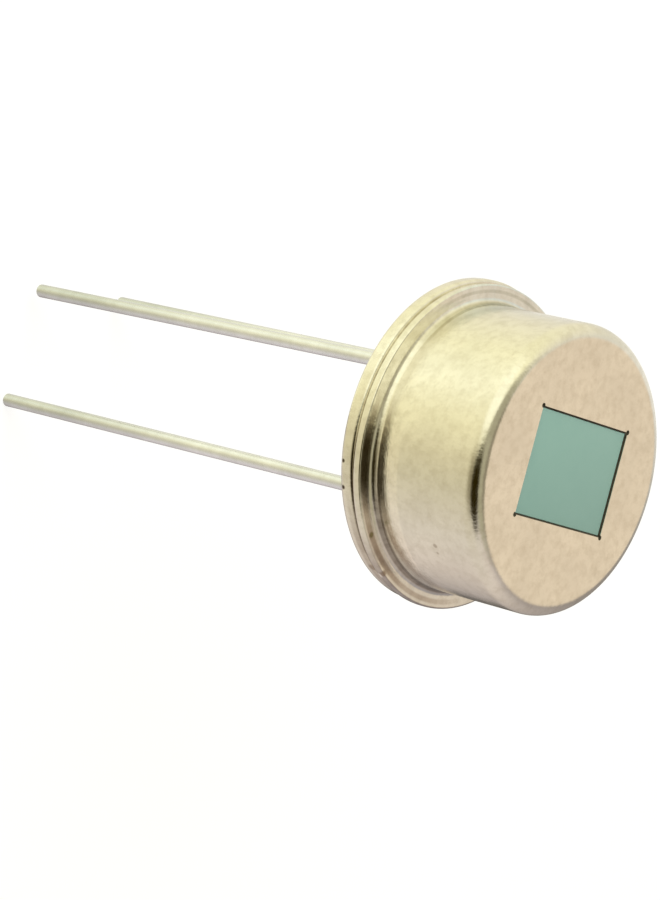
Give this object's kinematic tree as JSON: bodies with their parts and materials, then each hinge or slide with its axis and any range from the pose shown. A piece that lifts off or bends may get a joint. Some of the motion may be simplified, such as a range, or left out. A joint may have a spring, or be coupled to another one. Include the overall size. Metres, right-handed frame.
{
  "type": "passive infrared sensor",
  "caption": "Passive infrared sensor in a round metal can with a flange, a rectangular filter window and straight wire leads.",
  "frame": {"origin": "centre of the header's underside, the plane that sits on a circuit board", "axes": "+Z out through the window along the can's axis, the leads run along -Z, +X towards the index tab"},
  "size_m": [0.0101, 0.0093, 0.0204],
  "materials": {
    "can_nickel": "satin nickel plate",
    "header_nickel": "satin nickel plate",
    "filter_coat": "satin grey-green coating on silicon, opaque to the eye",
    "filter_epoxy": "dark adhesive",
    "lead_plate": "bright nickel plate",
    "seal_glass": "dark sealing glass",
    "braze_metal": "satin",
    "board_ceramic": "matt white ceramic",
    "board_metal": "plated track",
    "solder": "satin solder",
    "support_ceramic": "matt white ceramic",
    "element_ceramic": "polished pyroelectric ceramic",
    "electrode_film": "dark absorbing metal film",
    "silver_adhesive": "conductive adhesive",
    "transistor_case": "moulded case",
    "component_metal": "tinned metal",
    "resistor_ceramic": "matt white ceramic",
    "resistor_glaze": "dark glaze"
  },
  "bodies": {
    "root": {"can": "can_nickel", "header": "header_nickel", "ir_filter": "filter_coat", "filter_adhesive": "filter_epoxy", "lead_drain": "lead_plate", "lead_source": "lead_plate", "lead_ground": "lead_plate", "glass_seal_drain": "seal_glass", "glass_seal_source": "seal_glass", "ground_lead_braze": "braze_metal", "circuit_board": "board_ceramic", "board_tracks_top": "board_metal", "board_tracks_bottom": "board_metal", "board_link": "board_metal", "solder_joint_drain": "solder", "solder_joint_source": "solder", "solder_joint_ground": "solder", "component_solder": "solder", "element_support_left": "support_ceramic", "element_support_right": "support_ceramic", "sensing_element": "element_ceramic", "element_front_electrodes": "electrode_film", "element_back_electrodes": "electrode_film", "element_adhesive": "silver_adhesive", "transistor_body": "transistor_case", "transistor_leads": "component_metal", "gate_resistor_end_caps": "component_metal", "gate_resistor_body": "resistor_ceramic", "gate_resistor_coat": "resistor_glaze"}
  },
  "joints": []
}
